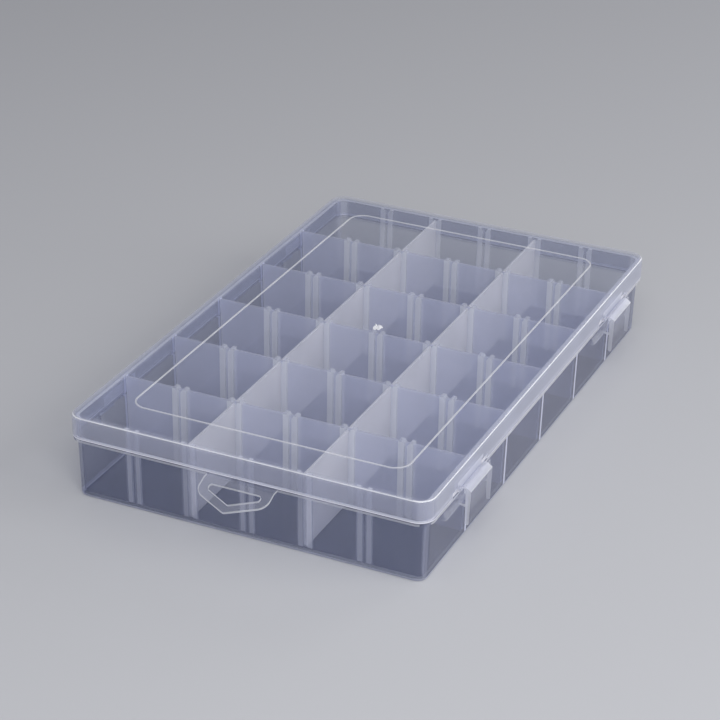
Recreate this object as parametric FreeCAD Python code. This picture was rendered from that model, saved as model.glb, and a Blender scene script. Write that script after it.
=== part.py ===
"""Compartment storage organizer with a hinged lid, two snap latches and twelve loose dividers.

The frame has +Z up, +X towards the latches and -Y towards the hang tab. The origin is the middle
of the tray's underside, and all sizes are in millimetres.
"""
import FreeCAD, Part
import math
import os

from FreeCAD import Vector

# Lid: a flat top with a skirt all round
lid_width = 150.0
lid_length = 240.0
lid_height = 35.4
lid_wall = 1.2
lid_corner_radius = 6.6
lid_edge_round = 1.2
skirt_depth = 9.5
skirt_foot_round = 0.4

# Raised line on the lid's top, and the gate mark at its middle
line_inset = 17.4
line_width = 0.6
line_height = 0.35
line_corner_radius = 7.0
gate_radius = 1.5
gate_height = 0.4

# Tray: drafted walls, a floor and a flange under the lid's skirt
tray_wall = 1.2
tray_floor = 1.3
tray_foot_inset = 0.8
tray_foot_round = 1.5
tray_inner_round = 0.8
lid_side_gap = 0.5
lid_top_gap = 0.3
flange_gap = 0.3
flange_thickness = 0.9
flange_inset = 0.3

# Grid inside the tray: fixed cross walls, and pairs of ribs that make slots
row_count = 6
slots_per_wall = 5
cross_wall = 1.2
cross_wall_drop = 0.5
cross_wall_round = 0.35
slot_width = 1.35
rib_width = 2.35
rib_depth = 1.1
rib_mouth_width = 0.8
rib_mouth_depth = 1.4

# Dividers: one plate in every second slot of each row
divider_sides = ("left", "right")
slots_per_column = 2
divider_slot_gap = 0.15
divider_end_gap = 0.25
divider_floor_gap = 0.2
divider_drop = 0.45
divider_foot_round = 1.5
divider_corner_round = 0.8
divider_edge_round = 0.35

# Hang tab on the front flange
tab_width = 29.2
tab_shelf = 2.7
tab_side = 7.2
tab_length = 13.8
tab_thickness = 1.0
tab_droop = 22.5
tab_shoulder_round = 5.5
tab_tip_round = 1.6
tab_edge_round = 0.3
tab_hole_width = 21.3
tab_hole_start = 2.4
tab_hole_side = 2.5
tab_hole_length = 7.5
tab_hole_round = 1.2

# Distance of the two stations from the lid's ends: each has a latch on the right and a hinge on the left
front_station_inset = 38.5
rear_station_inset = 43.5

# Latch: a clip on a rod of the lid, a leg that rises into a hood over it, and a tooth under the tray's catch
latch_length = 21.0
latch_rod_radius = 0.75
running_gap = 0.05
latch_clip_wall = 0.75
latch_skirt_gap = 0.3
latch_axis_rise = 1.1
latch_leg_proud = 1.2
latch_hood_rise = 1.15
latch_hood_width = 1.6
latch_hood_slope = 1.1
latch_leg_thickness = 2.1
latch_leg_foot_thickness = 1.6
latch_leg_length = 14.2
latch_leg_round = 0.5
latch_mouth_angle = 235.0
latch_mouth_spread_angle = 80.0
tooth_height = 1.5
tooth_bite = 1.35
tooth_gap = 0.3

# Lugs of the lid that hold the latch rod at both ends
lug_wall = 0.55
lug_thickness = 1.6
lug_ramp = 5.0
lug_height = 3.6
lug_end_gap = 0.35

# Catch of the tray: a sloped ledge that hangs from the flange
catch_leg_gap = 1.25
catch_depth = 2.9
catch_nose = 0.6
catch_front_length = 25.5
catch_rear_length = 13.0

# Hinge: ears and a rod on the tray, snap hooks on the lid
hinge_offset = 2.4
hinge_drop = 3.0
hinge_rod_radius = 1.2
hinge_station_length = 32.0
ear_radius = 1.9
ear_thickness = 2.6
ear_depth = 4.2
hook_wall = 1.0
hook_count = 2
hook_length = 10.0
hook_end_gap = 0.4
hook_arm_height = 3.4
hook_arm_gap = 0.3
hook_shoulder_angle = 45.0
hook_mouth_angle = -60.0
hook_mouth_spread_angle = 90.0

# How far a cutting tool runs past what it cuts, the tolerance for finding an edge,
# and the largest round an edge takes as a share of the thickness beside it
overrun = 2.0
touch = 1e-4
round_share = 1 / 3

# Sizes that follow from those above
lid_half_x = lid_width / 2
lid_half_y = lid_length / 2
lid_underside = lid_height - lid_wall
skirt_foot = lid_height - skirt_depth
rim_height = lid_underside - lid_top_gap
rim_half_x = lid_half_x - lid_wall - lid_side_gap
rim_half_y = lid_half_y - lid_wall - lid_side_gap
rim_corner_radius = lid_corner_radius - lid_wall - lid_side_gap
flange_top = skirt_foot - flange_gap
flange_foot = flange_top - flange_thickness
flange_half_x = lid_half_x - flange_inset
flange_half_y = lid_half_y - flange_inset
inner_half_x = rim_half_x - tray_wall
inner_half_y = rim_half_y - tray_wall
row_pitch = (2 * inner_half_y + cross_wall) / row_count
slot_pitch = 2 * inner_half_x / (slots_per_wall + 1)
cross_wall_top = rim_height - cross_wall_drop
divider_thickness = slot_width - 2 * divider_slot_gap
divider_top = rim_height - divider_drop
divider_foot = tray_floor + divider_floor_gap
latch_clip_radius = latch_rod_radius + running_gap + latch_clip_wall
latch_axis_x = lid_half_x + latch_skirt_gap + latch_clip_radius
latch_axis_z = skirt_foot + latch_axis_rise
latch_face_x = latch_axis_x + latch_clip_radius + latch_leg_proud
latch_leg_inner_x = latch_face_x - latch_leg_thickness
catch_face_x = latch_leg_inner_x - catch_leg_gap
catch_foot = flange_foot - catch_depth
front_station = front_station_inset - lid_half_y
rear_station = lid_half_y - rear_station_inset
stations = (front_station, rear_station)
hinge_axis_x = -(lid_half_x + hinge_offset)
hinge_axis_z = skirt_foot - hinge_drop
hook_radius = hinge_rod_radius + running_gap + hook_wall


def lean_at(z):
    """Distance that the tray's wall leans in at height z, measured from its rim."""
    return tray_foot_inset * (1 - z / rim_height)


def wall_x(z, inset):
    """Half the tray's width at height z, inset from its outside."""
    return rim_half_x - lean_at(z) - inset


def wall_y(z, inset):
    """Half the tray's length at height z, inset from its outside."""
    return rim_half_y - lean_at(z) - inset


def ring_point(x, z, radius, angle):
    """Point of the XZ plane on a circle about (x, z), by its angle in degrees from +X to +Z."""
    turn = math.radians(angle)
    return x + radius * math.cos(turn), z + radius * math.sin(turn)


def rounded_outline(points, radii):
    """Closed wire through the points, with each corner rounded by its radius, or sharp at radius 0."""
    count = len(points)
    starts, ends, edges = [], [], []
    for i in range(count):
        corner = points[i]
        back = (points[i - 1] - corner).normalize()
        ahead = (points[(i + 1) % count] - corner).normalize()
        half_angle = math.acos(back.dot(ahead)) / 2
        run = radii[i] / math.tan(half_angle)
        start, end = corner + back * run, corner + ahead * run
        if radii[i] > 0:
            middle_way = (back + ahead).normalize()
            middle = corner + middle_way * (radii[i] / math.sin(half_angle) - radii[i])
            edges.append(Part.Arc(start, middle, end).toShape())
        starts.append(start)
        ends.append(end)
    for i in range(count):
        edges.append(Part.LineSegment(ends[i], starts[(i + 1) % count]).toShape())
    return Part.Wire(Part.__sortEdges__(edges))


def rounded_rectangle(half_x, half_y, radius, z):
    """Outline of a rectangle with round corners, about the Z axis at height z."""
    corners = [(-1, -1), (1, -1), (1, 1), (-1, 1)]
    points = [Vector(side_x * half_x, side_y * half_y, z) for side_x, side_y in corners]
    return rounded_outline(points, [radius] * len(points))


def rounded_block(half_x, half_y, radius, low, high):
    """Straight-sided block with round corners between two heights."""
    face = Part.Face(rounded_rectangle(half_x, half_y, radius, low))
    return face.extrude(Vector(0, 0, high - low))


def foot_edges(solid, z):
    """Edges of a solid that lie flat at height z."""
    boxes = [(e, e.BoundBox) for e in solid.Edges]
    return [e for e, box in boxes if abs(box.ZMin - z) < touch and abs(box.ZMax - z) < touch]


def box_between(low, high):
    """Box from its lowest to its highest corner."""
    size = high - low
    return Part.makeBox(size.x, size.y, size.z, low)


def prism_along_y(profile, y_low, y_high):
    """Solid with a polygon of (x, z) points as its section, from y_low to y_high."""
    points = [Vector(x, y_low, z) for x, z in profile]
    face = Part.Face(Part.makePolygon(points + points[:1]))
    return face.extrude(Vector(0, y_high - y_low, 0))


def prism_along_x(profile, x_low, x_high):
    """Solid with a polygon of (y, z) points as its section, from x_low to x_high."""
    points = [Vector(x_low, y, z) for y, z in profile]
    face = Part.Face(Part.makePolygon(points + points[:1]))
    return face.extrude(Vector(x_high - x_low, 0, 0))


def rod_along_y(x, z, radius, y_low, y_high):
    """Round bar along Y."""
    return Part.makeCylinder(radius, y_high - y_low, Vector(x, y_low, z), Vector(0, 1, 0))


def mouth_along_y(x, z, reach, angle, spread, y_low, y_high):
    """Wedge that opens a ring about (x, z) so that it can snap over its rod."""
    first = ring_point(x, z, reach, angle - spread / 2)
    last = ring_point(x, z, reach, angle + spread / 2)
    return prism_along_y([(x, z), first, last], y_low, y_high)


def tray_block(inset, low, high):
    """Drafted block inside the tray's outside by inset, between two heights."""
    outlines = []
    for z in (low, high):
        radius = rim_corner_radius - lean_at(z) - inset
        outlines.append(rounded_rectangle(wall_x(z, inset), wall_y(z, inset), radius, z))
    return Part.makeLoft(outlines, True, True)


def cross_wall_places():
    """Y of each fixed cross wall, from front to back."""
    return [row_pitch * (i + 1 - row_count / 2) for i in range(row_count - 1)]


def slot_places():
    """X of each slot along a wall, from left to right."""
    return [slot_pitch * (i + 1 - (slots_per_wall + 1) / 2) for i in range(slots_per_wall)]


def rib_profiles():
    """Section of every rib in the XZ plane, each with a lead-in on the side of its slot."""
    profiles = []
    for slot_x in slot_places():
        for side in (-1, 1):
            inner = slot_x + side * slot_width / 2
            outer = inner + side * rib_width
            mouth = inner + side * rib_mouth_width
            low = rim_height - rib_mouth_depth
            foot = [(inner, 0), (outer, 0)]
            top = [(outer, rim_height), (mouth, rim_height), (inner, low)]
            profiles.append(foot + top)
    return profiles


def end_rib_zone(side):
    """Slab just inside the front (-1) or back (1) wall that its ribs fill."""
    inset = tray_wall + rib_depth
    reach = side * lid_half_y
    foot, top = side * wall_y(0, inset), side * wall_y(rim_height, inset)
    profile = [(reach, 0), (foot, 0), (top, rim_height), (reach, rim_height)]
    return prism_along_x(profile, -lid_half_x, lid_half_x)


def cross_wall_bar(y):
    """One cross wall, with its top edge eased."""
    low = Vector(-lid_half_x, y - cross_wall / 2, 0)
    high = Vector(lid_half_x, y + cross_wall / 2, cross_wall_top)
    bar = box_between(low, high)
    ease = min(cross_wall_round, cross_wall * round_share)
    long_edges = [e for e in foot_edges(bar, cross_wall_top) if e.BoundBox.XLength > cross_wall]
    return bar.makeFillet(ease, long_edges)


def tray_grid():
    """Cross walls and slot ribs, which reach past the tray's walls and are trimmed by them."""
    pieces = []
    half = cross_wall / 2 + rib_depth
    for y in cross_wall_places():
        pieces.append(cross_wall_bar(y))
        for profile in rib_profiles():
            pieces.append(prism_along_y(profile, y - half, y + half))
    for side in (-1, 1):
        zone = end_rib_zone(side)
        y_low, y_high = sorted((side * (lid_half_y - row_pitch / 2), side * lid_half_y))
        ribs = [prism_along_y(profile, y_low, y_high) for profile in rib_profiles()]
        pieces += [rib.common(zone) for rib in ribs]
    return pieces


def tray_flange():
    """Flange round the tray, just under the foot of the lid's skirt."""
    radius = lid_corner_radius - flange_inset
    ring = rounded_block(flange_half_x, flange_half_y, radius, flange_foot, flange_top)
    core = tray_block(tray_wall / 2, flange_foot - overrun, flange_top + overrun)
    return ring.cut(core)


def tab_outline(half_width, start, side, length, rounds):
    """Five-sided outline in the tab's own plane, with its tip towards -Y; rounds run from root to tip."""
    points = [
        Vector(-half_width, -start, 0),
        Vector(-half_width, -start - side, 0),
        Vector(0, -start - length, 0),
        Vector(half_width, -start - side, 0),
        Vector(half_width, -start, 0),
    ]
    root_round, shoulder_round, tip_round = rounds
    return rounded_outline(points, [root_round, shoulder_round, tip_round, shoulder_round, root_round])


def hang_tab():
    """Tab with a five-sided hole: a short shelf level with the flange, and a plate bent down from it."""
    slope = math.radians(tab_droop)
    fold_y = flange_half_y + tab_shelf
    mitre = tab_thickness * math.tan(slope / 2)
    tip_y = -(fold_y + tab_length)
    tip_drop = tab_length * math.tan(slope)
    profile = [
        (-inner_half_y, flange_top),
        (-fold_y, flange_top),
        (tip_y, flange_top - tip_drop),
        (tip_y, flange_top - tip_drop - tab_thickness / math.cos(slope)),
        (-fold_y + mitre, flange_top - tab_thickness),
        (-inner_half_y, flange_top - tab_thickness),
    ]
    blank = prism_along_x(profile, -tab_width, tab_width)
    root = overrun + fold_y - inner_half_y
    rounds = (0, tab_shoulder_round, tab_tip_round)
    outline = tab_outline(tab_width / 2, -root, root + tab_side, root + tab_length, rounds)
    rounds = (tab_hole_round, tab_hole_round, tab_hole_round)
    hole = tab_outline(tab_hole_width / 2, tab_hole_start, tab_hole_side, tab_hole_length, rounds)
    blocks = []
    for wire in (outline, hole):
        face = Part.Face(wire)
        face.translate(Vector(0, 0, -tab_length))
        block = face.extrude(Vector(0, 0, 2 * tab_length))
        block.rotate(Vector(0, 0, 0), Vector(1, 0, 0), tab_droop)
        block.translate(Vector(0, -fold_y, flange_top))
        blocks.append(block)
    outline_block, hole_block = blocks
    tab = blank.common(outline_block)
    boxes = [(e, e.BoundBox) for e in tab.Edges]
    rim = [e for e, box in boxes if box.XLength < tab_width - touch and box.YLength > tab_thickness]
    tab = tab.makeFillet(min(tab_edge_round, tab_thickness * round_share), rim)
    keep = tray_block(tray_wall / 2, 0, rim_height)
    return tab.cut([hole_block, keep])


def latch_catch(station):
    """Sloped ledge under the flange, which a latch's tooth hooks behind."""
    top_root = wall_x(flange_foot, tray_wall / 2)
    foot_root = wall_x(catch_foot, tray_wall / 2)
    middle = flange_foot + flange_thickness / 2
    profile = [
        (top_root, middle),
        (flange_half_x, middle),
        (flange_half_x, flange_foot),
        (catch_face_x, catch_foot + catch_nose),
        (catch_face_x, catch_foot),
        (foot_root, catch_foot),
    ]
    return prism_along_y(profile, station - catch_front_length, station + catch_rear_length)


def hinge_ears(station):
    """Two ears on the tray's left wall with the hinge rod between them."""
    low = station - hinge_station_length / 2
    high = station + hinge_station_length / 2
    foot = hinge_axis_z - ear_depth
    profile = [
        (-wall_x(foot, tray_wall / 2), foot),
        (hinge_axis_x, hinge_axis_z - ear_radius),
        (hinge_axis_x, flange_top),
        (-wall_x(flange_top, tray_wall / 2), flange_top),
    ]
    pieces = [rod_along_y(hinge_axis_x, hinge_axis_z, hinge_rod_radius, low, high)]
    for start in (low, high - ear_thickness):
        pieces.append(prism_along_y(profile, start, start + ear_thickness))
        pieces.append(rod_along_y(hinge_axis_x, hinge_axis_z, ear_radius, start, start + ear_thickness))
    return pieces


def make_tray():
    """Tray in one moulding: walls, floor, grid, flange, hang tab, catches and hinge ears."""
    outside = tray_block(0, 0, rim_height)
    outside = outside.makeFillet(tray_foot_round, foot_edges(outside, 0))
    inside = tray_block(tray_wall, tray_floor, rim_height + overrun)
    inside = inside.makeFillet(tray_inner_round, foot_edges(inside, tray_floor))
    cavity = inside.cut(tray_grid())
    tray = outside.cut(cavity)
    pieces = [tray_flange(), hang_tab()]
    for station in stations:
        pieces.append(latch_catch(station))
        pieces += hinge_ears(station)
    return tray.fuse(pieces).removeSplitter()


def lid_line():
    """Raised line that frames the middle of the lid's top."""
    half_x = lid_half_x - line_inset
    half_y = lid_half_y - line_inset
    low = lid_height - lid_wall / 2
    high = lid_height + line_height
    outer = rounded_block(half_x, half_y, line_corner_radius, low, high)
    inner_x, inner_y = half_x - line_width, half_y - line_width
    inner_radius = line_corner_radius - line_width
    inner = rounded_block(inner_x, inner_y, inner_radius, low - overrun, high + overrun)
    line = outer.cut(inner)
    return line.makeFillet(min(line_width, line_height) * round_share, foot_edges(line, high))


def latch_lugs(station):
    """Two ramped lugs on the lid's skirt with the latch rod between them."""
    root = lid_half_x - lid_wall / 2
    lug_radius = latch_rod_radius + lug_wall
    face_x = latch_axis_x + lug_radius
    profile = [
        (root, skirt_foot),
        (latch_axis_x, latch_axis_z - lug_radius),
        (latch_axis_x, latch_axis_z + lug_radius),
        (root, skirt_foot + lug_height),
    ]
    rod_half = latch_length / 2 + lug_end_gap + lug_thickness
    rod_ends = station - rod_half, station + rod_half
    pieces = [rod_along_y(latch_axis_x, latch_axis_z, latch_rod_radius, *rod_ends)]
    for side in (-1, 1):
        near = station + side * (latch_length / 2 + lug_end_gap)
        square = near + side * lug_thickness
        far = square + side * lug_ramp
        y_low, y_high = sorted((near, far))
        lug = prism_along_y(profile, y_low, y_high)
        lug = lug.fuse(rod_along_y(latch_axis_x, latch_axis_z, lug_radius, y_low, y_high))
        corners = [(root, near), (face_x, near), (face_x, square), (root, far)]
        plan = [Vector(x, y, 0) for x, y in corners]
        ramp = Part.Face(Part.makePolygon(plan + plan[:1])).extrude(Vector(0, 0, lid_height))
        pieces.append(lug.common(ramp))
    return pieces


def hinge_hook_places(station):
    """Start of each hook along Y, spread evenly between a station's two ears."""
    clear = hinge_station_length - 2 * (ear_thickness + hook_end_gap)
    step = (clear - hook_length) / (hook_count - 1)
    first = station - clear / 2
    return [first + step * i for i in range(hook_count)]


def hinge_hook(y_low):
    """Hook on the lid's skirt that snaps over the tray's hinge rod."""
    y_high = y_low + hook_length
    root = -(lid_half_x - lid_wall / 2)
    shoulder = ring_point(hinge_axis_x, hinge_axis_z, hook_radius, hook_shoulder_angle)
    profile = [
        (root, skirt_foot),
        (root, skirt_foot + hook_arm_height),
        (hinge_axis_x - hook_radius, hinge_axis_z),
        (hinge_axis_x, hinge_axis_z),
        shoulder,
        (-(lid_half_x + hook_arm_gap), skirt_foot),
    ]
    arm = prism_along_y(profile, y_low, y_high)
    hook = arm.fuse(rod_along_y(hinge_axis_x, hinge_axis_z, hook_radius, y_low, y_high))
    bore = rod_along_y(hinge_axis_x, hinge_axis_z, hinge_rod_radius + running_gap, y_low, y_high)
    centre = hinge_axis_x, hinge_axis_z
    opening = hook_mouth_angle, hook_mouth_spread_angle
    mouth = mouth_along_y(*centre, 2 * hook_radius, *opening, y_low, y_high)
    return hook.cut([bore, mouth])


def make_lid():
    """Lid in one moulding: top, skirt, raised line, latch lugs and hinge hooks."""
    outside = rounded_block(lid_half_x, lid_half_y, lid_corner_radius, skirt_foot, lid_height)
    outside = outside.makeFillet(lid_edge_round, foot_edges(outside, lid_height))
    inner_x, inner_y = lid_half_x - lid_wall, lid_half_y - lid_wall
    inner_radius = lid_corner_radius - lid_wall
    inside = rounded_block(inner_x, inner_y, inner_radius, skirt_foot - overrun, lid_underside)
    shell = outside.cut(inside)
    shell = shell.makeFillet(min(skirt_foot_round, lid_wall * round_share), foot_edges(shell, skirt_foot))
    gate_foot = Vector(0, 0, lid_height - lid_wall / 2)
    gate = Part.makeCylinder(gate_radius, lid_wall / 2 + gate_height, gate_foot)
    pieces = [lid_line(), gate]
    for station in stations:
        pieces += latch_lugs(station)
        pieces += [hinge_hook(y) for y in hinge_hook_places(station)]
    return shell.fuse(pieces).removeSplitter()


def make_latch(station):
    """Latch: a clip round the lid's rod, a leg outside the tray with a hood, and a tooth under the catch."""
    low = station - latch_length / 2
    high = station + latch_length / 2
    leg_top = latch_axis_z + latch_hood_rise
    foot = latch_axis_z - latch_leg_length
    leg_profile = [
        (latch_leg_inner_x, leg_top),
        (latch_face_x - latch_hood_width, leg_top),
        (latch_face_x, leg_top - latch_hood_slope),
        (latch_leg_inner_x + latch_leg_foot_thickness, foot),
        (latch_leg_inner_x, foot),
    ]
    leg = prism_along_y(leg_profile, low, high)
    long_edges = [(e, e.BoundBox) for e in leg.Edges if e.BoundBox.YLength > latch_length - touch]
    inner_x, hood_z = latch_leg_inner_x + touch, leg_top - touch
    outer_edges = [e for e, box in long_edges if box.XMin > inner_x or box.ZMax < hood_z]
    leg = leg.makeFillet(min(latch_leg_round, latch_leg_foot_thickness * round_share), outer_edges)
    tooth_top = catch_foot - tooth_gap
    tooth_root = latch_leg_inner_x + latch_leg_foot_thickness / 2
    tip = catch_face_x - tooth_bite
    tooth_profile = [
        (tooth_root, tooth_top),
        (tip, tooth_top),
        (tip, tooth_top - tooth_height / 2),
        (tooth_root, tooth_top - tooth_height),
    ]
    tooth = prism_along_y(tooth_profile, low, high)
    clip = rod_along_y(latch_axis_x, latch_axis_z, latch_clip_radius, low, high)
    latch = leg.fuse([tooth, clip])
    bore = rod_along_y(latch_axis_x, latch_axis_z, latch_rod_radius + running_gap, low, high)
    centre = latch_axis_x, latch_axis_z
    opening = latch_mouth_angle, latch_mouth_spread_angle
    mouth = mouth_along_y(*centre, 2 * latch_clip_radius, *opening, low, high)
    solid_leg = leg.cut(bore)
    return latch.cut([bore, mouth]).fuse(solid_leg).removeSplitter()


def divider_ends(row):
    """Front and back Y of a divider at its foot and its top, in a row counted from the front."""
    places = cross_wall_places()
    heights = (divider_foot, divider_top)
    front, back = [], []
    for z in heights:
        end = wall_y(z, tray_wall)
        front.append(-end if row == 0 else places[row - 1] + cross_wall / 2)
        back.append(end if row == row_count - 1 else places[row] - cross_wall / 2)
    return [y + divider_end_gap for y in front], [y - divider_end_gap for y in back]


def make_divider(row, slot):
    """Plate that drops into the slots at both ends of a row, with slots counted from the left."""
    side_x = slot_places()[slot - 1] - divider_thickness / 2
    (front_foot, front_top), (back_foot, back_top) = divider_ends(row)
    profile = [
        Vector(side_x, front_foot, divider_foot),
        Vector(side_x, back_foot, divider_foot),
        Vector(side_x, back_top, divider_top),
        Vector(side_x, front_top, divider_top),
    ]
    rounds = [divider_foot_round, divider_foot_round, divider_corner_round, divider_corner_round]
    outline = rounded_outline(profile, rounds)
    plate = Part.Face(outline).extrude(Vector(divider_thickness, 0, 0))
    edges = [e for e in foot_edges(plate, divider_top) if e.BoundBox.YLength > divider_thickness]
    return plate.makeFillet(min(divider_edge_round, divider_thickness * round_share), edges)


def main():
    """Write one STEP file for each piece."""
    parts = {"tray": make_tray(), "lid": make_lid()}
    for place, station in (("front", front_station), ("rear", rear_station)):
        parts["latch_" + place] = make_latch(station)
    for row in range(row_count):
        for number, side in enumerate(divider_sides, start=1):
            parts["divider_row{}_{}".format(row + 1, side)] = make_divider(row, number * slots_per_column)
    os.makedirs("parts", exist_ok=True)
    for name, shape in parts.items():
        shape.exportStep("parts/" + name + ".step")
        print(name, len(shape.Solids), "solid", "valid", shape.isValid(), "volume", round(shape.Volume, 1))


main()
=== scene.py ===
# %% [markdown]
# # A compartment box in natural polypropylene
# The object is a flat storage box: a tray with fixed cross walls, twelve loose dividers, a hinged lid and
# two snap latches. Every piece is moulded from the same cloudy, see-through plastic, so its look is the look
# of thin sheets: how much of the light goes straight through, how much is scattered, and how bright the
# rounded edges are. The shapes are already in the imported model, so this lesson loads it first and never
# moves it.

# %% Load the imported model
import math

import bpy
import numpy as np
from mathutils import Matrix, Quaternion, Vector


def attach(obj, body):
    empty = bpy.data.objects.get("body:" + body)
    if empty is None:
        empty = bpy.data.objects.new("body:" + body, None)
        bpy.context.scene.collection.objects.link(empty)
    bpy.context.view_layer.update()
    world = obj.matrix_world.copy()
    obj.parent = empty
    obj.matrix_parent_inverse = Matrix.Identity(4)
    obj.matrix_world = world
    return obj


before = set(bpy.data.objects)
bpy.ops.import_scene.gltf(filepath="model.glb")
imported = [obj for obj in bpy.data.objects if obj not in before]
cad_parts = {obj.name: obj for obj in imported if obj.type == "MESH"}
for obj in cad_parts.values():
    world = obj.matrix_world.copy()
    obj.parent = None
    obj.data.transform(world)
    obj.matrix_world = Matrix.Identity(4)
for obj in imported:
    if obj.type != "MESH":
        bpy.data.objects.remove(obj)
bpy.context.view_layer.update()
scene = bpy.context.scene
mm = 0.001
print("pieces in the frame:", len(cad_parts))

# %% [markdown]
# ## The camera
# The photograph was taken with a long lens from the front right, a little under thirty degrees up. A camera
# can be placed by turning it by hand, but here its place, the point that it looks at and its small roll are
# known from measuring the box's corners, so they are written down as they are.

# %% Place the camera
camera_place = Vector((341.7, -768.2, 450.2)) * mm
camera_aim = Vector((-8.75, 2.66, 17.7)) * mm
camera_roll = math.radians(0.925)
camera_lens = 114.88
camera_sensor = 36.0
camera_clip = 20.0

camera_data = bpy.data.cameras.new("camera")
camera_data.sensor_fit = "HORIZONTAL"
camera_data.sensor_width = camera_sensor
camera_data.lens = camera_lens
camera_data.clip_end = camera_clip
camera = bpy.data.objects.new("camera", camera_data)
scene.collection.objects.link(camera)
camera.location = camera_place
camera.rotation_mode = "QUATERNION"
look = (camera_aim - camera_place).to_track_quat("-Z", "Y")
camera.rotation_quaternion = look @ Quaternion((0, 0, 1), camera_roll)
scene.camera = camera
print("camera is", round((camera_aim - camera_place).length, 3), "m from the box")

# %% [markdown]
# ## Floor
# The box stands on a plain pale floor. A floor can be a plane from the menu, but a mesh of four points is as
# easy to write, and it is large enough that its edge never shows.

# %% Lay the floor
floor_half = 6.0
floor_turns = ((-1, -1), (1, -1), (1, 1), (-1, 1))
floor_colour = (0.44, 0.445, 0.465, 1)
floor_roughness = 0.6

floor_mesh = bpy.data.meshes.new("floor")
floor_corners = [(floor_half * right, floor_half * back, 0) for right, back in floor_turns]
floor_mesh.from_pydata(floor_corners, [], [(0, 1, 2, 3)])
floor = bpy.data.objects.new("floor", floor_mesh)
scene.collection.objects.link(floor)
floor_finish = bpy.data.materials.new("floor_paper")
floor_finish.use_nodes = True
floor_shader = floor_finish.node_tree.nodes["Principled BSDF"]
floor_shader.inputs["Base Color"].default_value = floor_colour
floor_shader.inputs["Roughness"].default_value = floor_roughness
floor_mesh.materials.append(floor_finish)
print("floor:", 2 * floor_half, "m wide")

# %% [markdown]
# ## Light
# Soft boxes light the box from the front right, the right, above and low behind, over an even world. Large
# lamps give the long soft streaks that a moulded edge shows, and the low one behind makes the walls glow.
# No lamp stands where the flat lid would mirror it into the camera, so the lid stays clear.

# %% Hang the lamps
world_colour = (0.82, 0.83, 0.90, 1)
world_strength = 0.36
see_through_bounces = 96
lamps = {
    "soft_box_key": {"place": (0.55, -0.95, 0.85), "size": 0.9, "power": 12.0},
    "soft_box_right": {"place": (1.25, 0.1, 0.6), "size": 0.9, "power": 10.0},
    "soft_box_top": {"place": (0.1, -0.5, 1.25), "size": 1.0, "power": 3.5},
    "soft_box_behind": {"place": (0.65, 1.15, 0.55), "size": 0.6, "power": 3.0},
}

world = bpy.data.worlds.new("studio")
world.use_nodes = True
background = world.node_tree.nodes["Background"]
background.inputs["Color"].default_value = world_colour
background.inputs["Strength"].default_value = world_strength
scene.world = world
for name, lamp in lamps.items():
    light = bpy.data.lights.new(name, "AREA")
    light.size = lamp["size"]
    light.energy = lamp["power"]
    holder = bpy.data.objects.new(name, light)
    holder.location = lamp["place"]
    holder.rotation_mode = "QUATERNION"
    holder.rotation_quaternion = (-Vector(lamp["place"])).to_track_quat("-Z", "Y")
    scene.collection.objects.link(holder)
scene.view_settings.view_transform = "Standard"
scene.cycles.transparent_max_bounces = see_through_bounces
print("lamps:", ", ".join(lamps))

# %% [markdown]
# ## Node helpers
# A material is a tree of nodes. It could be drawn in the shader editor, but a script repeats it for every
# finish. Five small functions keep the trees readable: one feeds a socket with a number or with another
# socket, one makes a Math node, one a smooth ramp between two places, one a noise, and one mixes two
# shaders.

# %% Write the node helpers


def feed(tree, socket, value):
    """Join an input socket to an output socket, or give it a plain value."""
    if isinstance(value, bpy.types.NodeSocket):
        tree.links.new(value, socket)
    else:
        socket.default_value = value


def number_node(tree, operation, *values):
    """Math node, whose inputs are sockets or plain numbers."""
    node = tree.nodes.new("ShaderNodeMath")
    node.operation = operation
    for socket, value in zip(node.inputs, values):
        feed(tree, socket, value)
    return node.outputs[0]


def ramp_node(tree, value, none_at, full_at):
    """Smooth change from 0 to 1 between two values."""
    node = tree.nodes.new("ShaderNodeMapRange")
    node.interpolation_type = "SMOOTHSTEP"
    feed(tree, node.inputs["Value"], value)
    node.inputs["From Min"].default_value = none_at
    node.inputs["From Max"].default_value = full_at
    return node.outputs["Result"]


def noise_node(tree, place, scale, detail):
    """Noise texture on the piece's own coordinates."""
    noise = tree.nodes.new("ShaderNodeTexNoise")
    noise.inputs["Scale"].default_value = scale
    noise.inputs["Detail"].default_value = detail
    feed(tree, noise.inputs["Vector"], place)
    return noise.outputs["Fac"]


def mix_shaders(tree, share, first, second):
    """Mix Shader node, whose share is a socket or a plain number."""
    mix = tree.nodes.new("ShaderNodeMixShader")
    feed(tree, mix.inputs["Fac"], share)
    feed(tree, mix.inputs[1], first)
    feed(tree, mix.inputs[2], second)
    return mix.outputs[0]


print("node helpers are ready")

# %% [markdown]
# ## Natural polypropylene
# A thin sheet of this plastic does three things with light. Most of it goes straight through, so what is
# behind the sheet stays sharp. A share of it is scattered to both sides, which makes the sheet look milky,
# and more so when the eye looks along the sheet and so through more plastic. The rest mirrors off the skin.
# A glass shader with a volume could do this, but it is slow and noisy in thin walls. Here the three are made
# from plain shaders, each in a function of its own.

# %% Write what the plastic does with light
plastic_ior = 1.49
back_scatter_share = 0.45
milk_mirror_share = 0.0
dark_cloud_share = 0.93
cloud_share = 0.22
facing_blend = 0.5
least_facing = 0.12
least_clear = 0.02


def way_through(tree):
    """How much longer the way through a sheet is than its thickness, which grows towards a slanting view."""
    layer = tree.nodes.new("ShaderNodeLayerWeight")
    layer.inputs["Blend"].default_value = facing_blend
    square_on = number_node(tree, "SUBTRACT", 1.0, layer.outputs["Facing"])
    return number_node(tree, "DIVIDE", 1.0, number_node(tree, "MAXIMUM", square_on, least_facing))


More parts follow.
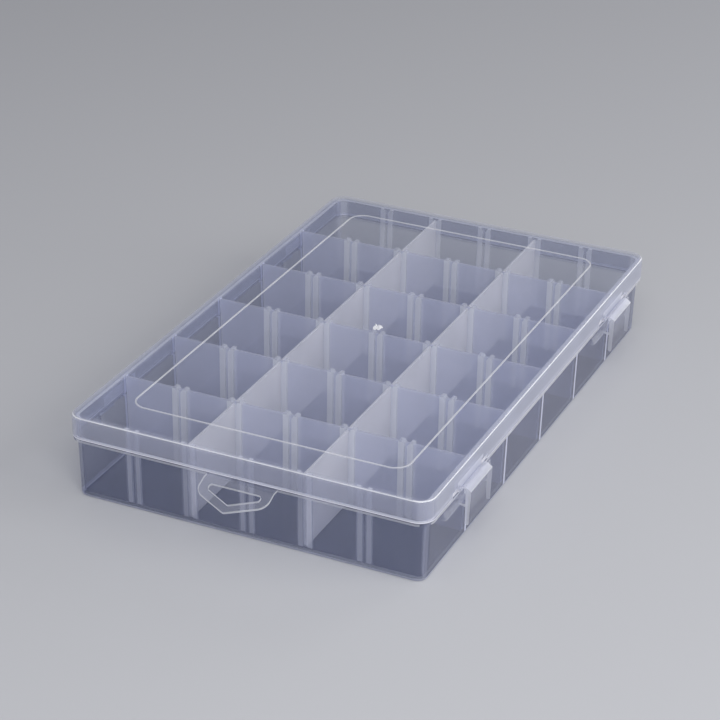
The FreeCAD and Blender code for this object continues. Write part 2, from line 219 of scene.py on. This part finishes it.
def clear_part(tree, clear, longer):
    """Shader for the light that goes straight through, dimmer after a longer way."""
    dimmed = tree.nodes.new("ShaderNodeGamma")
    dimmed.inputs["Color"].default_value = tuple(clear) + (1,)
    feed(tree, dimmed.inputs["Gamma"], longer)
    through = tree.nodes.new("ShaderNodeBsdfTransparent")
    feed(tree, through.inputs["Color"], dimmed.outputs[0])
    return through.outputs[0]


def milky_part(tree, scatter, cloud, bump, gloss):
    """Shader for the scattered light: from the near side, and through from the far side."""
    tone = tree.nodes.new("ShaderNodeMix")
    tone.data_type = "RGBA"
    feed(tree, tone.inputs["Factor"], cloud)
    tone.inputs["A"].default_value = tuple(dark_cloud_share * c for c in scatter) + (1,)
    tone.inputs["B"].default_value = tuple(scatter) + (1,)
    front = tree.nodes.new("ShaderNodeBsdfPrincipled")
    front.inputs["Roughness"].default_value = gloss
    front.inputs["Specular IOR Level"].default_value = milk_mirror_share
    feed(tree, front.inputs["Base Color"], tone.outputs["Result"])
    feed(tree, front.inputs["Normal"], bump)
    back = tree.nodes.new("ShaderNodeBsdfTranslucent")
    feed(tree, back.inputs["Color"], tone.outputs["Result"])
    return mix_shaders(tree, back_scatter_share, front.outputs[0], back.outputs[0])


def milky_share(tree, cloud, haze, thicker, longer):
    """Share of light that is scattered, which grows with the way through the plastic."""
    cloudier = number_node(tree, "MULTIPLY_ADD", cloud, 2 * cloud_share * haze, haze * (1 - cloud_share))
    if thicker is not None:
        cloudier = number_node(tree, "ADD", cloudier, thicker)
    left = number_node(tree, "MAXIMUM", number_node(tree, "SUBTRACT", 1.0, cloudier), least_clear)
    return number_node(tree, "SUBTRACT", 1.0, number_node(tree, "POWER", left, longer))


def skin_share(tree):
    """Share of light that the skin mirrors, on the outside of the plastic only."""
    fresnel = tree.nodes.new("ShaderNodeFresnel")
    fresnel.inputs["IOR"].default_value = plastic_ior
    inside = tree.nodes.new("ShaderNodeNewGeometry").outputs["Backfacing"]
    return number_node(tree, "MULTIPLY", fresnel.outputs[0], number_node(tree, "SUBTRACT", 1.0, inside))


print("plastic has an index of", plastic_ior)

# %% [markdown]
# ## One plastic from its parts
# A moulded sheet is never quite even: slow clouds vary the milk, and a fine grain breaks the gloss, as on a
# mould that was not polished. Both could be painted, but noise on the piece's own coordinates needs no
# picture and fits any shape. One function joins the parts: the clear light and the milk by the milky share,
# and over both the mirror of the skin.

# %% Put the plastic together
cloud_scale, cloud_detail = 38.0, 3.0
grain_scale, grain_detail = 1400.0, 2.0
grain_strength, grain_depth = 0.12, 0.05 * mm


def natural_plastic(name, scatter, clear, haze, gloss, thick=None):
    """Cloudy see-through plastic. haze is the share of light that one skin of a sheet scatters, seen square
    on, and thick is a function of the tree and the place's x, y and z that gives more haze."""
    material = bpy.data.materials.new(name)
    material.use_nodes = True
    tree = material.node_tree
    tree.nodes.clear()
    place = tree.nodes.new("ShaderNodeTexCoord").outputs["Object"]
    cloud = noise_node(tree, place, cloud_scale, cloud_detail)
    grain = noise_node(tree, place, grain_scale, grain_detail)
    bump = tree.nodes.new("ShaderNodeBump")
    bump.inputs["Strength"].default_value = grain_strength
    bump.inputs["Distance"].default_value = grain_depth
    feed(tree, bump.inputs["Height"], grain)
    thicker = None
    if thick is not None:
        split = tree.nodes.new("ShaderNodeSeparateXYZ")
        feed(tree, split.inputs[0], place)
        thicker = thick(tree, *split.outputs)
    longer = way_through(tree)
    through = clear_part(tree, clear, longer)
    milk = milky_part(tree, scatter, cloud, bump.outputs["Normal"], gloss)
    body = mix_shaders(tree, milky_share(tree, cloud, haze, thicker, longer), through, milk)
    mirror = tree.nodes.new("ShaderNodeBsdfGlossy")
    mirror.inputs["Roughness"].default_value = gloss
    feed(tree, mirror.inputs["Normal"], bump.outputs["Normal"])
    output = tree.nodes.new("ShaderNodeOutputMaterial")
    feed(tree, output.inputs["Surface"], mix_shaders(tree, skin_share(tree), body, mirror.outputs[0]))
    return material


print("clouds are about", round(1 / cloud_scale / mm), "mm wide")

# %% [markdown]
# ## Thick places
# Where two walls meet or a fitting sits behind a wall, the plastic is thicker and looks whiter. The band at
# the foot of the lid's skirt is not thicker plastic: its extra haze is a painted highlight for the light that
# leaves the skirt's edge. Such a place has no face of its own on a flat wall, so it could be cut into the
# mesh, or painted by the place in the piece's own coordinates. The second leaves the imported shapes alone.
# Each function here gives the extra haze of one piece.

# %% Write the thick places of the walls
row_pitch = 39.2333 * mm
joint_half, joint_soft = 0.62 * mm, 0.25 * mm
joint_reach = 100.0 * mm
joint_share = 0.62
skirt_foot = 25.9 * mm
foot_line, foot_line_soft = 0.55 * mm, 0.2 * mm
foot_line_share = 0.65
backing_stations = (-81.5 * mm, 76.5 * mm)
backing_half = 11.8 * mm
backing_top = 30.2 * mm
backing_side = 70.0 * mm
backing_soft = 0.8 * mm
backing_share = 0.22


def wall_joints(tree, x, y, z):
    """Lines on the outer walls where the cross walls meet them."""
    far = number_node(tree, "PINGPONG", y, row_pitch / 2)
    line = ramp_node(tree, far, joint_half + joint_soft, joint_half)
    middle = ramp_node(tree, number_node(tree, "ABSOLUTE", y), joint_reach, joint_reach - joint_soft)
    return number_node(tree, "MULTIPLY", number_node(tree, "MULTIPLY", line, middle), joint_share)


def skirt_thick(tree, x, y, z):
    """Painted highlight band at the foot of the lid's skirt, and the thicker backings of the latch lugs and
    the hinge hooks.
    """
    # the foot band's extra haze is a painted highlight, the lug and hook zones are thicker plastic
    foot = ramp_node(tree, z, skirt_foot + foot_line + foot_line_soft, skirt_foot + foot_line)
    backing = number_node(tree, "MULTIPLY", foot, foot_line_share)
    low = ramp_node(tree, z, backing_top + backing_soft, backing_top)
    side = ramp_node(tree, number_node(tree, "ABSOLUTE", x), backing_side, backing_side + backing_soft)
    zone = number_node(tree, "MULTIPLY", number_node(tree, "MULTIPLY", low, side), backing_share)
    for station in backing_stations:
        far = number_node(tree, "ABSOLUTE", number_node(tree, "SUBTRACT", y, station))
        beside = ramp_node(tree, far, backing_half + backing_soft, backing_half)
        backing = number_node(tree, "MULTIPLY_ADD", beside, zone, backing)
    return backing


print("thick places: joints every", round(row_pitch / mm, 1), "mm, skirt foot, lug and hook backings")

# %% Write the thick places of the lid's top and the latches
border_half_width, border_half_length = 72.2 * mm, 117.2 * mm
border_soft = 0.4 * mm
border_share = 0.05
leg_clear_below, leg_soft = 19.6 * mm, 1.2 * mm
leg_share = 0.03


def lid_border(tree, x, y, z):
    """Border of the lid's top, over the tray's rim."""
    beside, ahead = number_node(tree, "ABSOLUTE", x), number_node(tree, "ABSOLUTE", y)
    wide = ramp_node(tree, beside, border_half_width, border_half_width + border_soft)
    long = ramp_node(tree, ahead, border_half_length, border_half_length + border_soft)
    return number_node(tree, "MULTIPLY", number_node(tree, "MAXIMUM", wide, long), border_share)


def leg_fade(tree, x, y, z):
    """Upper half of a latch's leg, which is the thicker one."""
    upper = ramp_node(tree, z, leg_clear_below - leg_soft, leg_clear_below)
    return number_node(tree, "MULTIPLY", upper, leg_share)


print("thick places: lid border, upper latch legs")

# %% [markdown]
# ## Finishes
# All pieces are one plastic, but a floor seen through three sheets looks dimmer than a divider that stands
# in the light, and an edge looks whiter than both. One finish for all would be quicker, and too even. So
# each kind of face gets its own mix: the tint of its scattered light, the tint of what passes, the haze, the
# roughness of the skin and its thick places. Part of this is painted light: the darker tint that passes the
# tray's floor and the darker milk of the cross walls are painted shade, and the whiter rims, edges and corners
# are painted highlights.

# %% Mix the finishes
# cross walls' milk: their bluish tone, darkened as painted shade
deep_milk = (0.70, 0.72, 0.86)
cool_milk = (0.82, 0.84, 0.99)
mid_milk = (0.90, 0.91, 0.985)
white_milk = (0.97, 0.972, 0.985)
warm_milk = (0.97, 0.955, 0.97)
clear_pass = (0.982, 0.985, 0.992)
wall_pass = (0.86, 0.87, 0.905)
latch_pass = (0.92, 0.925, 0.95)
# darker tint passed by the tray's floor: painted shade
floor_pass = (0.70, 0.725, 0.80)
mixes = {
    # tray floor: the darker pass tint is painted shade on what is seen through it
    "tray_floor": (cool_milk, floor_pass, 0.03, 0.16),
    "tray_wall": (cool_milk, wall_pass, 0.035, 0.14, wall_joints),
    "tray_upper_wall": (cool_milk, clear_pass, 0.06, 0.14, wall_joints),
    # tray's rounded outer corners: whiter haze as a painted highlight line
    "tray_corner": (cool_milk, wall_pass, 0.13, 0.14),
    "tray_foot": (cool_milk, wall_pass, 0.26, 0.14),
    "tray_rim": (mid_milk, clear_pass, 0.34, 0.16),
    # cross walls: darker milk as painted shade
    "cross_wall": (deep_milk, clear_pass, 0.34, 0.20),
    "cross_wall_top": (mid_milk, clear_pass, 0.14, 0.20),
    "rib_front": (white_milk, clear_pass, 0.46, 0.20),
    "end_rib": (mid_milk, clear_pass, 0.34, 0.20),
    "rib_side": (mid_milk, clear_pass, 0.10, 0.20),
    # flange edge: whiter haze as a painted highlight line
    "flange_edge": (white_milk, clear_pass, 0.28, 0.18),
    "tab": (mid_milk, clear_pass, 0.05, 0.18),
    # tab's side faces: whiter haze as a painted highlight
    "tab_edge": (white_milk, clear_pass, 0.38, 0.18),
    "catch": (mid_milk, clear_pass, 0.08, 0.18),
    "hinge": (white_milk, clear_pass, 0.45, 0.18),
    "lid_top": (cool_milk, clear_pass, 0.008, 0.14, lid_border),
    "lid_skirt": (mid_milk, wall_pass, 0.15, 0.16, skirt_thick),
    # skirt's rounded corners: whiter haze as a painted soft highlight
    "skirt_corner": (mid_milk, wall_pass, 0.20, 0.16, skirt_thick),
    # rim's middle faces: whiter haze as a painted highlight line
    "lid_rim": (white_milk, clear_pass, 0.80, 0.18),
    "lid_rim_side": (mid_milk, clear_pass, 0.13, 0.16),
    # skirt's foot faces: whiter haze as a painted highlight line
    "skirt_foot_edge": (warm_milk, clear_pass, 0.90, 0.18),
    "raised_line": (white_milk, clear_pass, 0.34, 0.16),
    "lug": (mid_milk, clear_pass, 0.05, 0.16),
    "latch_hood": (mid_milk, latch_pass, 0.24, 0.16),
    "latch_leg": (mid_milk, latch_pass, 0.02, 0.16, leg_fade),
    # latch ends and fold: whiter haze as a painted highlight
    "latch_edge": (white_milk, latch_pass, 0.36, 0.18),
    "divider": (warm_milk, clear_pass, 0.32, 0.22),
    "divider_edge": (white_milk, clear_pass, 0.20, 0.22),
    "torn_gate": (white_milk, clear_pass, 0.85, 0.30),
}
finishes = {name: natural_plastic(name, *mix) for name, mix in mixes.items()}
print("finishes:", len(finishes))

# %% [markdown]
# ## Dress the faces
# Light that travels inside a sheet comes out at its rounded edges, so those look white while the flat walls
# look clear. That white is painted into the finishes of the edge faces as a painted highlight. The imported
# pieces are triangles, and a finish could be painted on them by hand. Here each face is found by where its
# middle lies and which way it points, so the choice holds for every face at once. A later zone wins over an
# earlier one.

# %% Write the dressing helpers


def face_places(node):
    """Middle and direction of every face of a piece."""
    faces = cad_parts[node].data.polygons
    middles, directions = np.zeros(len(faces) * 3), np.zeros(len(faces) * 3)
    faces.foreach_get("center", middles)
    faces.foreach_get("normal", directions)
    return middles.reshape(-1, 3), directions.reshape(-1, 3)


def dress(node, plain, **zones):
    """Give a piece its plain finish, and the faces of each zone the finish that the zone is named for."""
    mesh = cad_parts[node].data
    mesh.materials.clear()
    mesh.materials.append(finishes[plain])
    choice = np.zeros(len(mesh.polygons), np.int32)
    for number, (name, zone) in enumerate(zones.items(), start=1):
        mesh.materials.append(finishes[name])
        choice[zone] = number
    mesh.polygons.foreach_set("material_index", choice)
    mesh.update()
    counts = np.bincount(choice, minlength=len(zones) + 1)
    print(node, dict(zip([plain, *zones], counts.tolist())))


print("pieces to dress:", len(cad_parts))

# %% [markdown]
# ## The lid
# The lid is a clear sheet with a milky skirt. Its rounded rim and the foot of the skirt catch the light as
# white lines, the raised line on top is thinner and fainter, the lugs of the latches are clear and the hinge
# hooks milky. The white lines could be strips of mesh laid on the edges, but the imported lid has its
# roundings already, so the faces half way round the rim and at the foot of the skirt get a whiter finish than
# the rest: a painted highlight for these lines. The skirt's rounded corners get a slightly whiter finish, a
# painted soft highlight.

# %% Dress the lid
near = 0.02 * mm
wall_level_share = 0.06
skirt_corner_shares = (0.25, 0.97)
rim_line_shares = (0.5, 0.8)
lid_half_width = 75.0 * mm
lid_top = 35.4 * mm
lid_edge_round = 1.2 * mm
skirt_foot_round = 0.42 * mm

middles, directions = face_places("lid")
x, y, z = middles.T
across, along, level = np.abs(directions).T
upright = level < wall_level_share
rounding = (z > lid_top - lid_edge_round + near) & (z < lid_top - near / 2) & (level > wall_level_share)
dress(
    "lid",
    "lid_top",
    lid_skirt=upright,
    # rounded corners of the skirt get the painted soft highlight
    skirt_corner=upright & (across > skirt_corner_shares[0]) & (across < skirt_corner_shares[1]),
    lid_rim_side=rounding,
    # middle faces of the rounded rim get the painted highlight line
    lid_rim=rounding & (level > rim_line_shares[0]) & (level < rim_line_shares[1]),
    # foot faces of the skirt get the painted highlight line
    skirt_foot_edge=(z < skirt_foot + skirt_foot_round) & (level > wall_level_share),
    raised_line=z > lid_top + near,
    lug=x > lid_half_width + near,
    hinge=x < -lid_half_width - near,
)

# %% [markdown]
# ## The tray
# The tray is one moulding: a floor whose darker tint is painted shade, clear outer walls, milky cross walls
# with pairs of ribs that make the slots, a flange under the lid, a hang tab, two catches and the hinge ears.
# The cross walls' darker milk is painted shade, and the whiter outer corners, flange edge and tab edges are
# painted highlights. The ribs show as pale bars because the light stays in them, so their fronts are milky and
# their narrow sides clearer. Each zone could be a mesh of its own, but the real tray is one piece, so its
# zones are told by place.

# %% Dress the tray
square_share = 0.9
slanted_share = 0.5
tray_corner_shares = (0.75, 0.96)
tray_floor = 1.3 * mm
tray_foot_round = 1.5 * mm
rim_top = 33.85 * mm
grid_half_width = 68.0 * mm
grid_half_length = 116.25 * mm
inner_half_length = 117.2 * mm
end_rib_start = 110.0 * mm
rib_start = 1.2 * mm
flange_low, flange_high = 24.6 * mm, 25.7 * mm
flange_half_width, flange_half_length = 74.0 * mm, 119.0 * mm
fitting_start = 74.75 * mm
tab_start = -119.75 * mm
tab_flat_share = 0.8

middles, directions = face_places("tray")
x, y, z = middles.T
across, along, level = np.abs(directions).T
beside, ahead = np.abs(x), np.abs(y)
rows = y / row_pitch
from_wall = np.abs(rows - np.round(rows)) * row_pitch
inside = (beside < grid_half_width) & (z > tray_floor + near)
grid = inside & (ahead < grid_half_length)
facing_along = grid & (along > square_share)
outer_wall = (level < wall_level_share) & ~inside
flange = (z > flange_low) & (z < flange_high) & ((beside > flange_half_width) | (ahead > flange_half_length))
tab = y < tab_start
fitting = (beside > fitting_start) & ~tab
dress(
    "tray",
    "tray_wall",
    tray_upper_wall=outer_wall & (z > flange_high),
    # rounded outer corners of the tray get the painted highlight line
    tray_corner=outer_wall & (across > tray_corner_shares[0]) & (across < tray_corner_shares[1]),
    # floor faces get the darker pass tint, a painted shade
    tray_floor=(z < tray_floor + near) & (level > slanted_share),
    tray_foot=(z < tray_foot_round) & (level > wall_level_share) & (level < square_share) & ~inside,
    tray_rim=(z > rim_top) & (level > square_share) & ~grid,
    cross_wall=grid,
    cross_wall_top=grid & (level > slanted_share),
    rib_front=facing_along & (from_wall > rib_start),
    end_rib=facing_along & (ahead > end_rib_start),
    rib_side=inside & (ahead < inner_half_length) & (across > slanted_share),
    # edge faces of the flange get the painted highlight line
    flange_edge=flange & (level < slanted_share),
    tab=tab,
    # side faces of the tab get the painted highlight
    tab_edge=tab & (level < tab_flat_share),
    catch=fitting & (x > 0),
    hinge=fitting & (x < 0),
)

# %% [markdown]
# ## Latches and dividers
# A latch is a leg that rises into a rounded hood over its rod: white at its two ends and along the fold,
# where the white is a painted highlight, milky on the hood, and nearly clear at its foot. A divider is an even
# milky plate whose cut edges are a little clearer. Each could get its finish by hand, but the loose pieces are
# all alike, so one loop dresses them.

# %% Dress the loose pieces
hood_foot = 26.2 * mm
fold_side = 78.9 * mm
fold_shares = (0.1, 0.78)
plate_share = 0.97

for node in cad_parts:
    middles, directions = face_places(node)
    across, along, level = np.abs(directions).T
    if node.startswith("divider"):
        dress(node, "divider", divider_edge=across < plate_share)
    if node.startswith("latch"):
        x, y, z = middles.T
        hood = z > hood_foot
        fold = hood & (x > fold_side) & (level > fold_shares[0]) & (level < fold_shares[1])
        # ends and fold of the latch get the painted highlight
        dress(node, "latch_leg", latch_hood=hood, latch_edge=fold | (along > plate_share))

# %% [markdown]
# ## The torn gate
# The lid is filled through a gate in its middle. When the moulding is pulled off, the gate tears and leaves
# a small crown of white fibres. They could be modelled one by one, but they are many and random, so Geometry
# Nodes puts a spike on random points of a disc, turns each a little, and joins them to one mesh. A tree of
# this kind has named inputs for its sizes, and a Random Value node for each thing that varies.

# %% Write the helpers for the gate's tree
random_sockets = {"FLOAT_VECTOR": (0, 1, 0), "FLOAT": (2, 3, 1)}


def tree_input(tree, name, value):
    """Named size of a Geometry Nodes tree."""
    kind = "NodeSocketInt" if isinstance(value, int) else "NodeSocketFloat"
    socket = tree.interface.new_socket(name, in_out="INPUT", socket_type=kind)
    socket.default_value = value
    return socket


def random_node(tree, kind, low, high, seed):
    """Random value for each point between two limits."""
    node = tree.nodes.new("FunctionNodeRandomValue")
    node.data_type = kind
    low_at, high_at, result_at = random_sockets[kind]
    feed(tree, node.inputs[low_at], low)
    feed(tree, node.inputs[high_at], high)
    feed(tree, node.inputs["Seed"], seed)
    return node.outputs[result_at]


def combine_node(tree, x, y, z):
    """Vector from three values."""
    node = tree.nodes.new("ShaderNodeCombineXYZ")
    for socket, value in zip(node.inputs, (x, y, z)):
        feed(tree, socket, value)
    return node.outputs[0]


print("random values come as:", ", ".join(random_sockets))

# %% Scatter the fibres' points
gate_top = 35.8 * mm
gate_root = 0.15 * mm
fibre_inputs = {
    "Spread": 2.0 * mm,
    "Fibre Width": 0.36 * mm,
    "Fibre Height": 1.7 * mm,
    "Count": 24,
    "Seed": 7,
}
reach_step, tilt_step, height_step = 1, 2, 3

fibre_tree = bpy.data.node_groups.new("torn_gate", "GeometryNodeTree")
sockets = {name: tree_input(fibre_tree, name, value) for name, value in fibre_inputs.items()}
fibre_tree.interface.new_socket("Geometry", in_out="OUTPUT", socket_type="NodeSocketGeometry")
sizes = fibre_tree.nodes.new("NodeGroupInput").outputs
seed = sizes["Seed"]
turn = random_node(fibre_tree, "FLOAT", 0.0, 2 * math.pi, seed)
reach_seed = number_node(fibre_tree, "ADD", seed, reach_step)
reach = random_node(fibre_tree, "FLOAT", 0.0, 1.0, reach_seed)
radius = number_node(fibre_tree, "MULTIPLY", number_node(fibre_tree, "SQRT", reach), sizes["Spread"])
point_x = number_node(fibre_tree, "MULTIPLY", radius, number_node(fibre_tree, "COSINE", turn))
point_y = number_node(fibre_tree, "MULTIPLY", radius, number_node(fibre_tree, "SINE", turn))
points = fibre_tree.nodes.new("GeometryNodePoints")
feed(fibre_tree, points.inputs["Count"], sizes["Count"])
feed(fibre_tree, points.inputs["Position"], combine_node(fibre_tree, point_x, point_y, gate_top - gate_root))
print("fibres:", fibre_inputs["Count"], "within", fibre_inputs["Spread"] / mm, "mm")

# %% [markdown]
# ## Fibres on the points
# A torn fibre is a thin spike that leans its own way and has its own height. A curve with a thickness could
# do it, but a cone of a few sides is closed and cheap. Realize Instances turns the copies into real faces,
# and Set Material gives them the white of torn plastic.

# %% Set the fibres on their points
fibre_corners = 7
fibre_segments = 4
fibre_tilt = 0.7
shortest_share = 0.2

spike = fibre_tree.nodes.new("GeometryNodeMeshCone")
spike.fill_type = "NGON"
spike.inputs["Vertices"].default_value = fibre_corners
spike.inputs["Side Segments"].default_value = fibre_segments
feed(fibre_tree, spike.inputs["Radius Bottom"], sizes["Fibre Width"])
feed(fibre_tree, spike.inputs["Depth"], sizes["Fibre Height"])
tilt_seed = number_node(fibre_tree, "ADD", seed, tilt_step)
tilt_limits = Vector((fibre_tilt, fibre_tilt, math.pi))
tilt = random_node(fibre_tree, "FLOAT_VECTOR", -tilt_limits, tilt_limits, tilt_seed)
height_seed = number_node(fibre_tree, "ADD", seed, height_step)
height = random_node(fibre_tree, "FLOAT", shortest_share, 1.0, height_seed)
placed = fibre_tree.nodes.new("GeometryNodeInstanceOnPoints")
feed(fibre_tree, placed.inputs["Points"], points.outputs[0])
feed(fibre_tree, placed.inputs["Instance"], spike.outputs["Mesh"])
feed(fibre_tree, placed.inputs["Rotation"], tilt)
feed(fibre_tree, placed.inputs["Scale"], combine_node(fibre_tree, 1.0, 1.0, height))
joined = fibre_tree.nodes.new("GeometryNodeRealizeInstances")
feed(fibre_tree, joined.inputs[0], placed.outputs[0])
finished = fibre_tree.nodes.new("GeometryNodeSetMaterial")
finished.inputs["Material"].default_value = finishes["torn_gate"]
feed(fibre_tree, finished.inputs["Geometry"], joined.outputs[0])
feed(fibre_tree, fibre_tree.nodes.new("NodeGroupOutput").inputs[0], finished.outputs[0])
print("gate tree:", len(fibre_tree.nodes), "nodes")

# %% [markdown]
# ## The gate as a plain mesh
# The tree runs in a modifier, on an object that is empty at first. The modifier could stay, but a plain mesh
# is easier to hand on, so its result is copied and the carrier is thrown away. The crown then rides on the
# lid.

# %% Turn the gate into a plain mesh
carrier = bpy.data.objects.new("torn_gate_carrier", bpy.data.meshes.new("torn_gate_carrier"))
scene.collection.objects.link(carrier)
grower = carrier.modifiers.new("torn_gate", "NODES")
grower.node_group = fibre_tree
for name, socket in sockets.items():
    grower[socket.identifier] = fibre_inputs[name]
grown = carrier.evaluated_get(bpy.context.evaluated_depsgraph_get())
gate_mesh = bpy.data.meshes.new_from_object(grown)
bpy.data.objects.remove(carrier)
gate_mesh.name = "torn_gate"
torn_gate = bpy.data.objects.new("torn_gate", gate_mesh)
scene.collection.objects.link(torn_gate)
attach(torn_gate, "lid")
print("torn gate:", len(gate_mesh.polygons), "faces")
